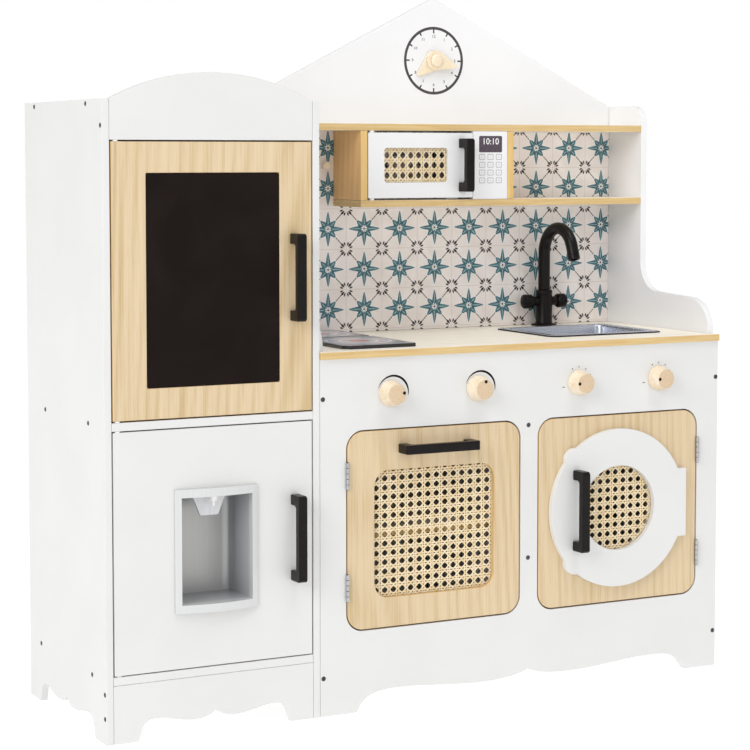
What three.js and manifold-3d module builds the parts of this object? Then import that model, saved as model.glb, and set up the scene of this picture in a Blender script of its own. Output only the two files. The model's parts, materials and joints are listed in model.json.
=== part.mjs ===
// A child's wooden play kitchen. A fridge-freezer unit stands beside a kitchen unit that has
// an oven, a washing machine, a worktop with hob, sink and tap, a tiled back wall with a
// microwave on a shelf, and a clock in the gable.
// Millimetres. +X to the right, +Z up, and the doors face -Y. Heights are from the floor,
// depths are from the front face of the doors, and the parts of each unit are measured from
// the left side of that unit.

import * as THREE from 'three';
import { mergeVertices } from 'three/addons/utils/BufferGeometryUtils.js';
import Module from 'manifold-3d';

const wasm = await Module();
wasm.setup();

// ---- Driving dimensions ------------------------------------------------------------------

const board = 11;               // thickness of fronts, doors and shelves
const sideBoard = 10;           // thickness of the upright side boards
const hardboard = 5;            // thickness of the two back panels
const seam = 0.3;               // joint line between pieces that meet
const depth = 308;              // front face of the doors to the wall

const fridgeWidth = 309;
const fridgeHeight = 839;
const archRise = 36;            // rise of the arched top above the fridge's sides
const fridgeShelfTop = 88.5;
const middleShelfTop = 421.5;
const fridgeDoorBottom = 90;
const fridgeDoorTop = 408.8;
const freezerDoorBottom = 423.5;
const freezerDoorTop = 784.5;
const fridgeDoorGap = 2;        // gap beside the doors that turn on pins

const kitchenWidth = 661.5;
const kitchenSideHeight = 843;
const worktopTop = 500.6;
const worktopThickness = 10;
const worktopOverhang = 4;
const wallFront = 280;          // front face of the tiled wall
const gableHeight = 1005;
const shelfFront = 190;         // front edges of the two wall shelves
const shelfThickness = 10;
const topShelfTop = 812.8;
const lowerShelfTop = 700.8;

const doorSize = 274.4;         // the square oven and washing machine doors
const doorBottom = 115;
const doorSpacing = 306.8;      // centre to centre
const doorShift = 1.3;          // the pair of doors sits this much right of the middle
const doorGap = 2.1;
const doorRadius = 24;
const hingeLength = 38;
const hingeRadius = 2.6;
const hingeRise = [60, 214.5];  // hinge centres above the bottom of the door

const knobHeight = 440;
const knobOffsets = [-223, -84, 84, 223];
const clockHeight = 910.4;
const footWidth = 44;           // width of the feet that the shaped lower edges leave

// ---- Materials ---------------------------------------------------------------------------

function finish(color, roughness, metalness = 0) {
  return new THREE.MeshStandardMaterial({ color, roughness, metalness });
}

const whitePaint = finish(0xeeecea, 0.45);
const maple = finish(0xe0c490, 0.5);
const mapleEdge = finish(0xdeb465, 0.5);
const beech = finish(0xe9cfa4, 0.6);
const tiles = finish(0xe6dcd8, 0.4);
const chalk = finish(0x141414, 0.85);
const blackMetal = finish(0x1c1a1a, 0.5, 0.6);
const silverPlastic = finish(0xc4c4c2, 0.35, 0.3);
const whitePlastic = finish(0xf4f4f2, 0.3);
const steel = finish(0xb6b9bd, 0.3, 0.8);
const cane = finish(0xe6cf9c, 0.7);
const hobPrint = finish(0x8f9093, 0.3);

// ---- Shaping helpers ---------------------------------------------------------------------

const arcSteps = 6;             // lines in each eighth of a turn, or in each curve
const fineSteps = 12;           // the same for long curves that show

// A closed outline from corner points.
function polygon(points) {
  return new THREE.Shape(points.map(([u, v]) => new THREE.Vector2(u, v)));
}

// A rectangle whose corners are quarter circles.
function roundedRectangle(left, low, right, high, radius, Kind = THREE.Shape) {
  const shape = new Kind();
  shape.moveTo(left + radius, low);
  shape.absarc(right - radius, low + radius, radius, -Math.PI / 2, 0, false);
  shape.absarc(right - radius, high - radius, radius, 0, Math.PI / 2, false);
  shape.absarc(left + radius, high - radius, radius, Math.PI / 2, Math.PI, false);
  shape.absarc(left + radius, low + radius, radius, Math.PI, Math.PI * 1.5, false);
  return shape;
}

function circle(u, v, radius, Kind = THREE.Path) {
  const shape = new Kind();
  shape.absarc(u, v, radius, 0, Math.PI * 2, false);
  return shape;
}

function extrude(shape, thickness, curveSegments = arcSteps) {
  return new THREE.ExtrudeGeometry(shape, { depth: thickness, bevelEnabled: false, curveSegments });
}

// Outline in X and Y, solid from z = 0 up.
function extrudeUp(shape, thickness, curveSegments) {
  return extrude(shape, thickness, curveSegments);
}

// Outline in X and Z, solid from y = 0 back.
function extrudeBack(shape, thickness, curveSegments) {
  return extrude(shape, thickness, curveSegments).rotateX(Math.PI / 2).translate(0, thickness, 0);
}

// Outline in Y and Z, solid from x = 0 to the right.
function extrudeAcross(shape, thickness, curveSegments) {
  return extrude(shape, thickness, curveSegments).rotateX(Math.PI / 2).rotateZ(Math.PI / 2);
}

// A box given by its lowest corner and its size.
function box(x, y, z, width, length, height) {
  const geometry = new THREE.BoxGeometry(width, length, height);
  return geometry.translate(x + width / 2, y + length / 2, z + height / 2);
}

// A turned piece about the Y axis, from pairs of radius and y that start and end on the axis.
function turned(profile, segments = 24) {
  return new THREE.LatheGeometry(profile.map(([r, y]) => new THREE.Vector2(r, y)), segments);
}

// The same piece stood up, so that its axis is Z.
function turnedUpright(profile, segments) {
  return turned(profile, segments).rotateX(Math.PI / 2);
}

function toSolid(geometry) {
  const bare = geometry.clone();
  bare.deleteAttribute('normal');
  bare.deleteAttribute('uv');
  const merged = mergeVertices(bare, 1e-4);
  return new wasm.Manifold(new wasm.Mesh({
    numProp: 3,
    vertProperties: new Float32Array(merged.attributes.position.array),
    triVerts: new Uint32Array(merged.index.array),
  }));
}

function toGeometry(solid) {
  const mesh = solid.getMesh();
  const geometry = new THREE.BufferGeometry();
  geometry.setAttribute('position', new THREE.BufferAttribute(mesh.vertProperties, 3));
  geometry.setIndex(new THREE.BufferAttribute(mesh.triVerts, 1));
  geometry.computeVertexNormals();
  return geometry;
}

function join(...pieces) {
  return toGeometry(pieces.map(toSolid).reduce((whole, piece) => whole.add(piece)));
}

function cut(body, ...tools) {
  return toGeometry(tools.map(toSolid).reduce((rest, tool) => rest.subtract(tool), toSolid(body)));
}

const fridge = new THREE.Group();
const kitchen = new THREE.Group();
kitchen.position.x = fridgeWidth + seam;

// Adds one named piece to a unit.
function add(unit, name, geometry, material, x = 0, y = 0, z = 0) {
  const mesh = new THREE.Mesh(geometry, material);
  mesh.name = name;
  mesh.position.set(x, y, z);
  unit.add(mesh);
}

// ---- Shaped lower edges ------------------------------------------------------------------

const footRound = 28.5;         // height of the crest beside each foot
const lobeDip = 20.5;           // lowest point between a crest and the middle
const cuspHeight = 31;          // point in the middle

// Adds the shaped lower edge of a board to its outline, from its left corner to its right:
// a foot, a crest, a shallow lobe, a cusp in the middle, and the same back again.
function shapedLowerEdge(shape, left, right, foot) {
  const middle = (left + right) / 2;
  const half = middle - left - foot;
  const at = (fraction) => left + foot + half * fraction;
  const back = (fraction) => right - foot - half * fraction;
  shape.moveTo(left, 0);
  shape.lineTo(at(0), 0);
  shape.bezierCurveTo(at(0.03), 16, at(0.06), footRound, at(0.22), footRound);
  shape.bezierCurveTo(at(0.42), footRound, at(0.52), lobeDip, at(0.74), lobeDip);
  shape.quadraticCurveTo(at(0.92), lobeDip, at(1), cuspHeight);
  shape.quadraticCurveTo(back(0.92), lobeDip, back(0.74), lobeDip);
  shape.bezierCurveTo(back(0.52), lobeDip, back(0.42), footRound, back(0.22), footRound);
  shape.bezierCurveTo(back(0.06), footRound, back(0.03), 16, back(0), 0);
  shape.lineTo(right, 0);
}

// ---- Shared pieces -----------------------------------------------------------------------

const handleLength = 117;
const handleReach = 27;         // from the door to the front of the grip
const handleWidth = 12.8;
const handleGrip = 11;          // thickness of the grip
const handleFoot = 14;          // length of each foot
const handleChamfer = 3;

// A D-handle that lies along X, standing out from y = 0 to y = -handleReach.
function handleGeometry(length) {
  const half = length / 2;
  const inner = half - handleFoot;
  const inside = handleReach - handleGrip;
  const shape = polygon([[-half, 0], [-half, handleReach - handleChamfer],
    [-half + handleChamfer, handleReach], [half - handleChamfer, handleReach],
    [half, handleReach - handleChamfer], [half, 0], [inner, 0]]);
  shape.lineTo(inner, inside - handleChamfer);
  shape.lineTo(inner - handleChamfer, inside);
  shape.lineTo(-inner + handleChamfer, inside);
  shape.lineTo(-inner, inside - handleChamfer);
  shape.lineTo(-inner, 0);
  return extrudeUp(shape, handleWidth).rotateX(Math.PI).translate(0, 0, handleWidth / 2);
}

function uprightHandle(length) {
  return handleGeometry(length).rotateY(Math.PI / 2);
}

// A butt hinge's barrel and its leaf, which is screwed to the edge of the opening.
// side is -1 where the opening's edge lies to the left of the barrel, and 1 to the right.
const leafThickness = 0.6;

function hingeGeometry(side) {
  const barrel = turnedUpright([[0, -hingeLength / 2], [hingeRadius, -hingeLength / 2],
    [hingeRadius, hingeLength / 2], [0, hingeLength / 2]], 12);
  const leafX = side < 0 ? -leafThickness : 0;
  const leaf = box(leafX, 0, -hingeLength / 2, leafThickness, hingeRadius + 9, hingeLength);
  return join(barrel, leaf);
}

const knobRadius = 18.5;
const knobFace = 14.5;
const knobReach = 21;
const shaftRadius = 3.6;
const shaftHole = 4.3;

// A turned wooden knob that faces -Y, with its shaft through the front panel.
function knobGeometry() {
  return turned([[0, -knobReach], [knobFace - 1, -knobReach], [knobFace, -knobReach + 0.8],
    [knobFace + 2.2, -12], [knobRadius - 0.6, -4], [knobRadius, -2], [knobRadius - 1, -seam],
    [shaftRadius, -seam], [shaftRadius, board + 6], [0, board + 6]], 28);
}

// ---- Fridge-freezer ----------------------------------------------------------------------

const fridgeInner = fridgeWidth - 2 * sideBoard;

function fridgeSide() {
  const shape = new THREE.Shape();
  shapedLowerEdge(shape, 0, depth, footWidth);
  shape.lineTo(depth, fridgeHeight);
  shape.lineTo(0, fridgeHeight);
  return extrudeAcross(shape, sideBoard, fineSteps);
}

function fridgeShelf(top, front) {
  return box(sideBoard + seam, front, top - board,
    fridgeInner - 2 * seam, depth - hardboard - seam - front, board);
}

function buildFridgeCarcass() {
  add(fridge, 'fridge_side_left', fridgeSide(), whitePaint);
  add(fridge, 'fridge_side_right', fridgeSide(), whitePaint, fridgeWidth - sideBoard);
  add(fridge, 'fridge_top_panel', fridgeShelf(fridgeHeight, board + seam), whitePaint);
  add(fridge, 'fridge_middle_shelf', fridgeShelf(middleShelfTop, 0), whitePaint);
  add(fridge, 'fridge_bottom_shelf', fridgeShelf(fridgeShelfTop, 0), whitePaint);

  const left = sideBoard + seam;
  const right = fridgeWidth - sideBoard - seam;
  const kick = new THREE.Shape();
  shapedLowerEdge(kick, left, right, footWidth - sideBoard);
  kick.lineTo(right, fridgeShelfTop - board - seam);
  kick.lineTo(left, fridgeShelfTop - board - seam);
  add(fridge, 'fridge_kick_board', extrudeBack(kick, board, fineSteps), whitePaint);

  // The arched front above the freezer door is a circular segment on a rectangle.
  const chord = (right - left) / 2;
  const archRadius = (chord * chord + archRise * archRise) / (2 * archRise);
  const archAngle = Math.asin(chord / archRadius);
  const arch = new THREE.Shape();
  arch.moveTo(left, freezerDoorTop + fridgeDoorGap);
  arch.lineTo(right, freezerDoorTop + fridgeDoorGap);
  arch.absarc(fridgeWidth / 2, fridgeHeight + archRise - archRadius, archRadius,
    Math.PI / 2 - archAngle, Math.PI / 2 + archAngle, false);
  add(fridge, 'fridge_arch_fascia', extrudeBack(arch, board, 2 * fineSteps), whitePaint);

  add(fridge, 'fridge_back_panel', box(left, depth - hardboard, fridgeShelfTop - board,
    fridgeInner - 2 * seam, hardboard, fridgeHeight - fridgeShelfTop + board), whitePaint);
}

const fridgeDoorLeft = sideBoard + fridgeDoorGap;
const fridgeDoorWidth = fridgeInner - 2 * fridgeDoorGap;
const fridgeHandleX = 271;
const chalkWidth = 190;
const chalkHeight = 280;
const chalkRecess = 1.8;

function buildFreezerDoor() {
  const middleX = fridgeWidth / 2;
  const middleZ = (freezerDoorBottom + freezerDoorTop) / 2;
  const doorBody = box(fridgeDoorLeft, 0, freezerDoorBottom,
    fridgeDoorWidth, board, freezerDoorTop - freezerDoorBottom);
  const recess = box(middleX - chalkWidth / 2, -1, middleZ - chalkHeight / 2,
    chalkWidth, 1 + chalkRecess, chalkHeight);
  add(fridge, 'freezer_door', cut(doorBody, recess), maple);

  const panel = roundedRectangle(-chalkWidth / 2 + seam, -chalkHeight / 2 + seam,
    chalkWidth / 2 - seam, chalkHeight / 2 - seam, 3);
  add(fridge, 'freezer_chalkboard', extrudeBack(panel, chalkRecess - seam, 2), chalk,
    middleX, 0, middleZ);
  add(fridge, 'freezer_handle', uprightHandle(handleLength), blackMetal,
    fridgeHandleX, -seam, middleZ);
}

// The drinks dispenser: a silver tub let into the door, with a bowed rim in front of it.
const dispenserX = 155.5;
const dispenserZ = 246.7;
const fridgeHandleZ = 252.5;
const rimWidth = 118.5;
const rimHeight = 164.6;
const rimThickness = 3;
const rimBow = 9;
const recessWidth = 101.5;
const recessHeight = 142.6;
const recessDepth = 70;
const recessCorner = 14;
const tubWall = 2;
const paddleTop = 70.3;         // above the dispenser's centre
const paddleHeight = 29;

// An outline in X and Y whose front edge bulges towards -Y.
function bowedPlan(width, edge, bow, back) {
  const shape = new THREE.Shape();
  shape.moveTo(-width / 2, back);
  shape.lineTo(-width / 2, -edge);
  shape.quadraticCurveTo(0, -edge - 2 * bow, width / 2, -edge);
  shape.lineTo(width / 2, back);
  return shape;
}

// An outline in X and Y whose two corners at the back are round.
function nichePlan(width, front, back, corner) {
  const shape = new THREE.Shape();
  shape.moveTo(-width / 2, front);
  shape.lineTo(width / 2, front);
  shape.lineTo(width / 2, back - corner);
  shape.quadraticCurveTo(width / 2, back, width / 2 - corner, back);
  shape.lineTo(corner - width / 2, back);
  shape.quadraticCurveTo(-width / 2, back, -width / 2, back - corner);
  return shape;
}

function buildFridgeDoor() {
  const doorBody = box(fridgeDoorLeft, 0, fridgeDoorBottom,
    fridgeDoorWidth, board, fridgeDoorTop - fridgeDoorBottom);
  const tubWidth = recessWidth + 2 * tubWall;
  const tubHeight = recessHeight + 2 * tubWall;
  const opening = box(dispenserX - tubWidth / 2 - seam, -1,
    dispenserZ - tubHeight / 2 - seam,
    tubWidth + 2 * seam, board + 2, tubHeight + 2 * seam);
  add(fridge, 'fridge_door', cut(doorBody, opening), whitePaint);
  add(fridge, 'fridge_handle', uprightHandle(handleLength), blackMetal,
    fridgeHandleX, -seam, fridgeHandleZ);

  const rim = extrudeUp(bowedPlan(rimWidth, rimThickness, rimBow, -seam), rimHeight, 2 * fineSteps)
    .translate(0, 0, -rimHeight / 2);
  const tubPlan = nichePlan(tubWidth, -rimThickness, recessDepth + tubWall, recessCorner + tubWall);
  const tub = extrudeUp(tubPlan, tubHeight, fineSteps).translate(0, 0, -tubHeight / 2);
  const hollowPlan = nichePlan(recessWidth, -20, recessDepth, recessCorner);
  const hollow = extrudeUp(hollowPlan, recessHeight, fineSteps).translate(0, 0, -recessHeight / 2);
  add(fridge, 'dispenser_housing', cut(join(rim, tub), hollow), silverPlastic,
    dispenserX, 0, dispenserZ);

  const ceiling = recessHeight / 2 - seam;
  add(fridge, 'dispenser_nozzle', turnedUpright([[0, ceiling - 16], [1.8, ceiling - 16],
    [1.8, ceiling - 8], [6, ceiling - 8], [6, ceiling], [0, ceiling]], 16), whitePlastic,
  dispenserX, 8, dispenserZ);
  const paddle = polygon([[-13, paddleTop - paddleHeight], [13, paddleTop - paddleHeight],
    [25, paddleTop], [-25, paddleTop]]);
  add(fridge, 'dispenser_paddle', extrudeBack(paddle, 6), silverPlastic,
    dispenserX, 22, dispenserZ);
}

// ---- Kitchen carcass ---------------------------------------------------------------------

const kitchenMiddle = kitchenWidth / 2;
const kitchenLeft = sideBoard + seam;
const kitchenRight = kitchenWidth - sideBoard - seam;
const kitchenInner = kitchenRight - kitchenLeft;
const frontHeight = worktopTop - worktopThickness - seam;
const kitchenShelfTop = 95;
const bulgeRadius = 48;         // rounded front of the side boards above the worktop
const hollowRadius = 46;        // hollow curve where the side boards step back
const bulgeTop = 552;
const hollowBottom = 556;
const topRounding = 26;

// The side boards step back above the worktop in one S-shaped curve.
function kitchenSide() {
  const front = board + seam;
  const shape = new THREE.Shape();
  shapedLowerEdge(shape, front, depth, footWidth - board);
  shape.lineTo(depth, kitchenSideHeight);
  shape.lineTo(shelfFront + topRounding, kitchenSideHeight);
  shape.absarc(shelfFront + topRounding, kitchenSideHeight - topRounding, topRounding,
    Math.PI / 2, Math.PI, false);
  shape.absarc(shelfFront - hollowRadius, hollowBottom + hollowRadius, hollowRadius,
    0, -Math.PI / 2, true);
  shape.absarc(front + bulgeRadius, bulgeTop - bulgeRadius, bulgeRadius,
    Math.PI / 2, Math.PI, false);
  return extrudeAcross(shape, sideBoard, fineSteps);
}

function doorCentres() {
  const middle = kitchenMiddle + doorShift;
  return [middle - doorSpacing / 2, middle + doorSpacing / 2];
}

function kitchenFront() {
  const shape = new THREE.Shape();
  shapedLowerEdge(shape, 0, kitchenWidth, footWidth + board);
  shape.lineTo(kitchenWidth, frontHeight);
  shape.lineTo(0, frontHeight);
  const reach = doorSize / 2 + doorGap;
  const middleZ = doorBottom + doorSize / 2;
  for (const x of doorCentres()) {
    shape.holes.push(roundedRectangle(x - reach, middleZ - reach, x + reach, middleZ + reach,
      doorRadius + doorGap, THREE.Path));
  }
  for (const offset of knobOffsets) {
    shape.holes.push(circle(kitchenMiddle + offset, knobHeight, shaftHole));
  }
  return extrudeBack(shape, board, fineSteps);
}

function buildKitchenCarcass() {
  add(kitchen, 'kitchen_side_left', kitchenSide(), whitePaint);
  add(kitchen, 'kitchen_side_right', kitchenSide(), whitePaint, kitchenWidth - sideBoard);
  add(kitchen, 'kitchen_front_panel', kitchenFront(), whitePaint);

  const inside = board + seam;
  const backFace = depth - hardboard - seam;
  add(kitchen, 'kitchen_bottom_shelf', box(kitchenLeft, inside, kitchenShelfTop - board,
    kitchenInner, backFace - inside, board), whitePaint);
  add(kitchen, 'kitchen_centre_divider', box(kitchenMiddle - board / 2, inside,
    kitchenShelfTop + seam, board, backFace - inside, frontHeight - kitchenShelfTop - seam),
  whitePaint);
  add(kitchen, 'oven_shelf', box(kitchenLeft, 30, 236,
    kitchenMiddle - board / 2 - seam - kitchenLeft, backFace - 30, shelfThickness), beech);
  add(kitchen, 'kitchen_back_panel', box(kitchenLeft, depth - hardboard,
    kitchenShelfTop - board, kitchenInner, hardboard, frontHeight - kitchenShelfTop + board),
  whitePaint);
}

// ---- Worktop, sink, hob and tap ----------------------------------------------------------

const sinkX = 506;
const sinkY = 142;
const sinkWidth = 196;
const sinkLength = 164;
const sinkRadius = 14;
const sinkRim = 12;
const sinkRimThickness = 2.2;
const sinkDepth = 50;
const sinkWall = 2;

function centredRectangle(width, length, radius, Kind) {
  return roundedRectangle(-width / 2, -length / 2, width / 2, length / 2, radius, Kind);
}

function buildWorktop() {
  const shape = polygon([[0, -worktopOverhang], [kitchenWidth, -worktopOverhang],
    [kitchenWidth, board], [kitchenRight, board], [kitchenRight, depth],
    [kitchenLeft, depth], [kitchenLeft, board], [0, board]]);
  const holeWidth = sinkWidth - 2 * sinkRim + 2 * seam;
  const holeLength = sinkLength - 2 * sinkRim + 2 * seam;
  shape.holes.push(roundedRectangle(sinkX - holeWidth / 2, sinkY - holeLength / 2,
    sinkX + holeWidth / 2, sinkY + holeLength / 2, sinkRadius, THREE.Path));
  add(kitchen, 'worktop', extrudeUp(shape, worktopThickness), mapleEdge,
    0, 0, worktopTop - worktopThickness);

  const rim = extrudeUp(centredRectangle(sinkWidth, sinkLength, sinkRadius), sinkRimThickness)
    .translate(0, 0, -sinkRimThickness);
  const bowlWidth = sinkWidth - 2 * sinkRim;
  const bowlLength = sinkLength - 2 * sinkRim;
  const bowl = extrudeUp(centredRectangle(bowlWidth, bowlLength, sinkRadius), sinkDepth)
    .translate(0, 0, -sinkDepth);
  const hollow = extrudeUp(centredRectangle(bowlWidth - 2 * sinkWall, bowlLength - 2 * sinkWall,
    sinkRadius - sinkWall), sinkDepth).translate(0, 0, sinkWall - sinkDepth);
  add(kitchen, 'sink_basin', cut(join(rim, bowl), hollow), steel,
    sinkX, sinkY, worktopTop + seam + sinkRimThickness);
}

const hobX = 104.7;
const hobWidth = 112;
const hobThickness = 5;
const hobCorner = 9;

function buildHob() {
  const plates = [['hob_plate_front', 22, 158], ['hob_plate_rear', 164, 276]];
  for (const [name, front, back] of plates) {
    const left = hobX - hobWidth / 2;
    const right = hobX + hobWidth / 2;
    const plate = polygon([[left + hobCorner, front], [right - 2, front], [right, front + 2],
      [right, back - hobCorner], [right - hobCorner, back], [left + hobCorner, back],
      [left, back - hobCorner], [left, front + hobCorner]]);
    add(kitchen, name, extrudeUp(plate, hobThickness), hobPrint, 0, 0, worktopTop + seam);
  }
}

const tapX = 517;
const tapY = 258;
const tapBaseRadius = 20;
const tapBodyRadius = 13;
const tapBodyHeight = 55.5;     // above the worktop
const valveHeight = 38;         // above the worktop
const valveStemRadius = 7;
const valveStemReach = 21.5;
const valveRadius = 11;
const valveReach = 37.2;
const spoutRadius = 9.2;
const spoutArcRadius = 41;
const spoutArcHeight = 112.5;   // centre of the spout's arc above the worktop
const spoutArcAngle = 160;      // degrees that the spout turns through
const spoutTipLength = 21;

// The spout's centre line: straight up, over in an arc towards -Y, and on to the tip.
class SpoutLine extends THREE.Curve {
  constructor() {
    super();
    this.rise = spoutArcHeight - tapBodyHeight - 2 * seam;
    this.turn = THREE.MathUtils.degToRad(spoutArcAngle);
    this.bend = this.turn * spoutArcRadius;
    this.whole = this.rise + this.bend + spoutTipLength;
  }

  getPoint(t, target = new THREE.Vector3()) {
    const along = t * this.whole;
    if (along <= this.rise) {
      return target.set(0, 0, along);
    }
    const angle = Math.min((along - this.rise) / spoutArcRadius, this.turn);
    const past = Math.max(along - this.rise - this.bend, 0);
    const y = -spoutArcRadius * (1 - Math.cos(angle)) - past * Math.sin(angle);
    const z = this.rise + spoutArcRadius * Math.sin(angle) + past * Math.cos(angle);
    return target.set(0, y, z);
  }
}

function buildTap() {
  const body = turnedUpright([[0, 0], [tapBaseRadius, 0], [tapBaseRadius, 2.4],
    [tapBodyRadius + 1, 4], [tapBodyRadius, 5], [tapBodyRadius, tapBodyHeight],
    [0, tapBodyHeight]], 24);
  const stems = turned([[0, -valveStemReach], [valveStemRadius, -valveStemReach],
    [valveStemRadius, valveStemReach], [0, valveStemReach]], 18)
    .rotateZ(-Math.PI / 2).translate(0, 0, valveHeight);
  const base = worktopTop + seam;
  add(kitchen, 'tap_body', join(body, stems), blackMetal, tapX, tapY, base);

  const section = circle(0, 0, spoutRadius, THREE.Shape);
  const spout = new THREE.ExtrudeGeometry(section,
    { steps: 22, curveSegments: 8, bevelEnabled: false, extrudePath: new SpoutLine() });
  add(kitchen, 'tap_spout', spout, blackMetal, tapX, tapY, base + tapBodyHeight + seam);

  for (const [name, side] of [['tap_valve_left', -1], ['tap_valve_right', 1]]) {
    const near = valveStemReach + seam;
    const knob = turned([[0, near], [valveStemRadius + 1.5, near], [valveRadius, near + 3],
      [valveRadius, valveReach - 1.5], [valveRadius - 1.5, valveReach], [0, valveReach]], 18)
      .rotateZ(-side * Math.PI / 2);
    add(kitchen, name, knob, blackMetal, tapX, tapY, base + valveHeight);
  }
}

// ---- Oven and washing machine doors ------------------------------------------------------

const windowWidth = 191;
const windowHeight = 177.5;
const windowRadius = 22;
const windowZ = 244.8;
const rebate = 6;               // cane panel's border behind the edge of the window
const caneDepth = 6;            // from the door's front face to the cane
const caneThickness = 1.8;

function doorOutline(x) {
  const half = doorSize / 2;
  return roundedRectangle(x - half, doorBottom, x + half, doorBottom + doorSize, doorRadius);
}

// A door board with a window that widens into a rebate at the back.
function rebatedDoor(outline, window, rebateOutline) {
  const opening = extrudeBack(window, board + 2).translate(0, -1, 0);
  const pocket = extrudeBack(rebateOutline, board).translate(0, caneDepth, 0);
  return cut(extrudeBack(outline, board), opening, pocket);
}

function addHinges(stem, x, side) {
  for (const [index, rise] of hingeRise.entries()) {
    const level = index === 0 ? 'lower' : 'upper';
    add(kitchen, `${stem}_hinge_${level}`, hingeGeometry(side), steel,
      x, -hingeRadius - seam, doorBottom + rise);
  }
}

function buildOvenDoor() {
  const [x] = doorCentres();
  const halfWidth = windowWidth / 2;
  const halfHeight = windowHeight / 2;
  const window = roundedRectangle(x - halfWidth, windowZ - halfHeight,
    x + halfWidth, windowZ + halfHeight, windowRadius);
  const pocket = roundedRectangle(x - halfWidth - rebate, windowZ - halfHeight - rebate,
    x + halfWidth + rebate, windowZ + halfHeight + rebate, windowRadius + rebate);
  const border = rebate - seam;
  const panel = roundedRectangle(x - halfWidth - border, windowZ - halfHeight - border,
    x + halfWidth + border, windowZ + halfHeight + border, windowRadius + border);
  add(kitchen, 'oven_door', rebatedDoor(doorOutline(x), window, pocket), maple);
  add(kitchen, 'oven_cane_panel', extrudeBack(panel, caneThickness), cane,
    0, caneDepth + seam, 0);
  add(kitchen, 'oven_handle', handleGeometry(handleLength), blackMetal, x, -seam, 363);
  addHinges('oven', x - doorSize / 2 - doorGap / 2, -1);
}

const discRadius = 115.7;
const discThickness = 9;
const discZ = 254;
const discShift = -5;           // centre of the disc from the middle of the door
const portholeRadius = 62;
const earRadius = 17;
const earDistance = 106;
const tabHeight = 101;
const tabReach = 119;           // right end of the tab from the disc's centre

function buildWasherDoor() {
  const [, doorX] = doorCentres();
  const x = doorX + discShift;
  const outline = doorOutline(doorX);
  outline.holes.push(circle(x, discZ, portholeRadius + rebate));
  add(kitchen, 'washer_door', extrudeBack(outline, board, fineSteps), maple);
  add(kitchen, 'washer_cane_panel', extrudeBack(circle(x, discZ, portholeRadius + rebate - seam,
    THREE.Shape), caneThickness, fineSteps), cane, 0, seam, 0);

  const disc = extrudeBack(circle(0, 0, discRadius, THREE.Shape), discThickness, 4 * fineSteps);
  const tab = box(0, 0, -tabHeight / 2, tabReach, discThickness, tabHeight);
  const ears = [135, 225].map((degrees) => {
    const angle = THREE.MathUtils.degToRad(degrees);
    return extrudeBack(circle(earDistance * Math.cos(angle), earDistance * Math.sin(angle),
      earRadius, THREE.Shape), discThickness, fineSteps);
  });
  const porthole = extrudeBack(circle(0, 0, portholeRadius, THREE.Shape), discThickness + 2,
    3 * fineSteps).translate(0, -1, 0);
  add(kitchen, 'washer_porthole_plate', cut(join(disc, tab, ...ears), porthole), whitePaint,
    x, -seam - discThickness, discZ);
  add(kitchen, 'washer_handle', uprightHandle(handleLength), blackMetal,
    x - 74, -discThickness - 2 * seam, discZ + 2);
  addHinges('washer', doorX + doorSize / 2 + doorGap / 2, 1);
}

// ---- Tiled wall, shelves, microwave and clock --------------------------------------------

const microwaveLeft = 159.7;    // outer face of the microwave's left wall
const microwaveDoorRight = 347.7;
const microwaveRight = 408.4;   // left face of the divider
const microwaveGap = 3;         // above and below the microwave door
const microwaveDoorThickness = 9;
const shelfBack = wallFront - seam;
const shelfLength = shelfBack - shelfFront;
const shelfUnderside = topShelfTop - shelfThickness;

function buildWallAndShelves() {
  const gable = polygon([[kitchenLeft, worktopTop + seam], [kitchenRight, worktopTop + seam],
    [kitchenRight, kitchenSideHeight], [kitchenMiddle, gableHeight],
    [kitchenLeft, kitchenSideHeight]]);
  add(kitchen, 'tiled_gable_wall', extrudeBack(gable, board), tiles, 0, wallFront, 0);
  add(kitchen, 'top_shelf', box(kitchenLeft, shelfFront, shelfUnderside,
    kitchenInner, shelfLength, shelfThickness), mapleEdge);
  add(kitchen, 'lower_shelf', box(microwaveLeft, shelfFront, lowerShelfTop - shelfThickness,
    kitchenRight - microwaveLeft, shelfLength, shelfThickness), mapleEdge);

  const wallBottom = lowerShelfTop + seam;
  const wallHeight = shelfUnderside - seam - wallBottom;
  add(kitchen, 'microwave_wall', box(microwaveLeft, shelfFront, wallBottom,
    board, shelfLength, wallHeight), mapleEdge);
  add(kitchen, 'shelf_divider', box(microwaveRight, shelfFront, wallBottom,
    board, shelfLength, wallHeight), mapleEdge);
  add(kitchen, 'microwave_control_panel', box(microwaveDoorRight + 1, shelfFront, wallBottom,
    microwaveRight - seam - microwaveDoorRight - 1, board, wallHeight), whitePaint);
  add(kitchen, 'utensil_peg', turned([[0, -15], [5, -15], [6.5, -13], [6.5, -10], [4, -7],
    [4, 0], [0, 0]], 16), beech, 143.2, wallFront - seam, 751);
}

function buildMicrowaveDoor() {
  const left = microwaveLeft + board + 1.4;
  const low = lowerShelfTop + microwaveGap;
  const high = shelfUnderside - microwaveGap;
  const window = [198.4, 726.6, 304.9, 777.5];
  const grown = (margin) => roundedRectangle(window[0] - margin, window[1] - margin,
    window[2] + margin, window[3] + margin, 5 + margin);
  const outline = roundedRectangle(left, low, microwaveDoorRight, high, 2);
  add(kitchen, 'microwave_door', cut(extrudeBack(outline, microwaveDoorThickness, 3),
    extrudeBack(grown(0), board + 2).translate(0, -1, 0),
    extrudeBack(grown(rebate), board).translate(0, caneDepth - 2, 0)), whitePaint,
  0, shelfFront, 0);
  add(kitchen, 'microwave_cane_panel', extrudeBack(grown(rebate - seam), caneThickness), cane,
    0, shelfFront + caneDepth - 2 + seam, 0);
  add(kitchen, 'microwave_handle', uprightHandle(79), blackMetal,
    329.7, shelfFront - seam, 752);
}

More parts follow.
